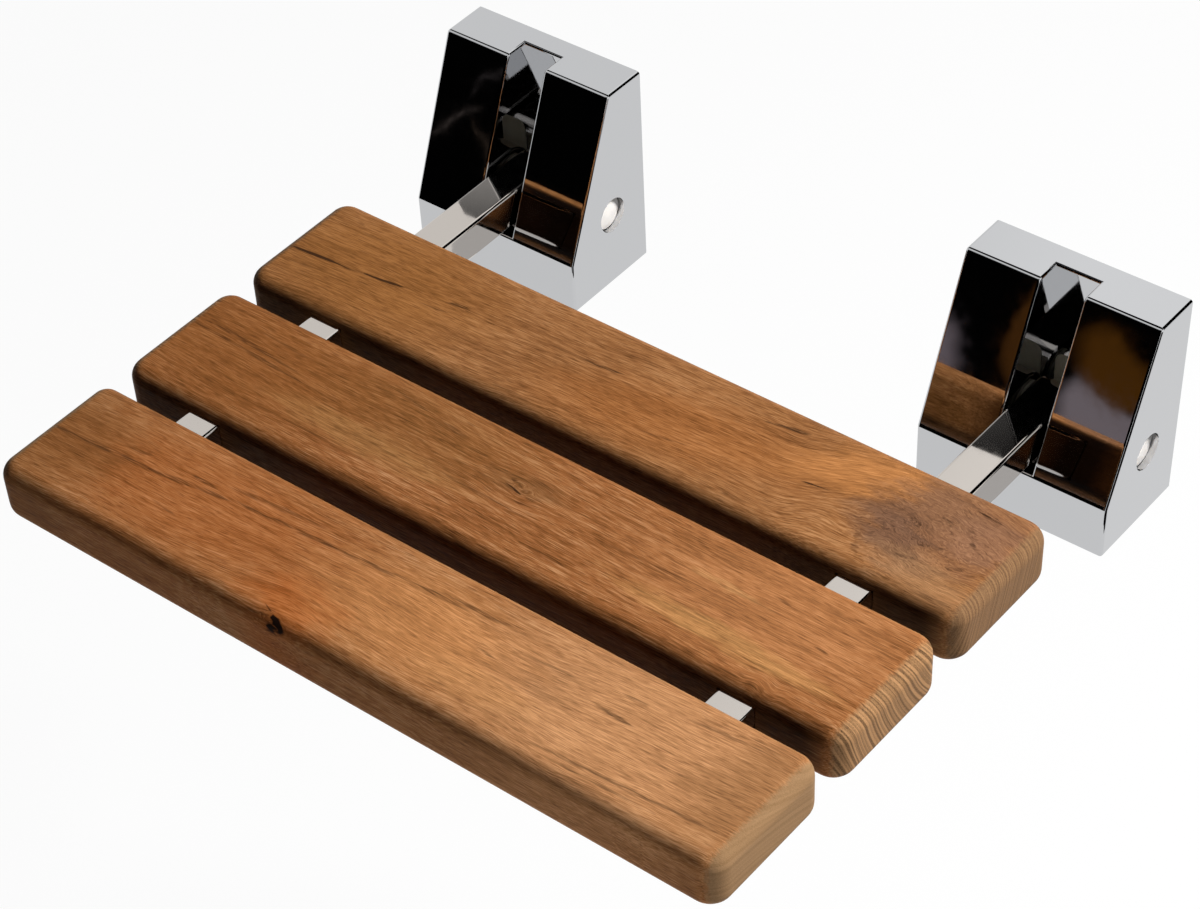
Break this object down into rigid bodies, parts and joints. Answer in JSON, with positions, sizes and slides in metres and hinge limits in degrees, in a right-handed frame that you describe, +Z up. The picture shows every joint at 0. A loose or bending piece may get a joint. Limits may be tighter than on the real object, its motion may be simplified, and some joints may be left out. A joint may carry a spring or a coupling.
{
  "type": "fold down wall seat",
  "caption": "Fold down wall seat: wooden slats on square arms that pivot in slanted chrome wall brackets.",
  "frame": {"origin": "the middle of the wall screw pattern, in the wall plane, half way between the brackets and half way up them", "axes": "+X along the slats, +Y into the wall, so the seat lies along -Y, and +Z up"},
  "size_m": [0.381, 0.3255, 0.102],
  "materials": {
    "chrome_casting": "polished",
    "polished_arm": "polished",
    "zinc_plated_steel": "satin",
    "stainless_steel": "satin",
    "white_plastic": "satin",
    "pale_nylon": "satin",
    "teak": "oiled"
  },
  "bodies": {
    "wall_brackets": {"bracket_left": "chrome_casting", "bracket_right": "chrome_casting", "wall_plate_left": "zinc_plated_steel", "wall_plate_right": "zinc_plated_steel", "pivot_pin_left": "stainless_steel", "pivot_pin_right": "stainless_steel", "pin_caps_left": "white_plastic", "pin_caps_right": "white_plastic", "stop_pad_left": "pale_nylon", "stop_pad_right": "pale_nylon", "bracket_screws_left": "stainless_steel", "bracket_screws_right": "stainless_steel"},
    "seat": {"arm_left": "polished_arm", "arm_right": "polished_arm", "pivot_bushes_left": "white_plastic", "pivot_bushes_right": "white_plastic", "slat_back": "teak", "slat_middle": "teak", "slat_front": "teak", "slat_screws": "stainless_steel"}
  },
  "joints": [
    {"name": "seat_fold", "type": "hinge", "parent": "wall_brackets", "child": "seat", "pos_m": [0, -0.0235, -0.0135], "axis": [-1, 0, 0], "range_deg": [0, 90]}
  ]
}
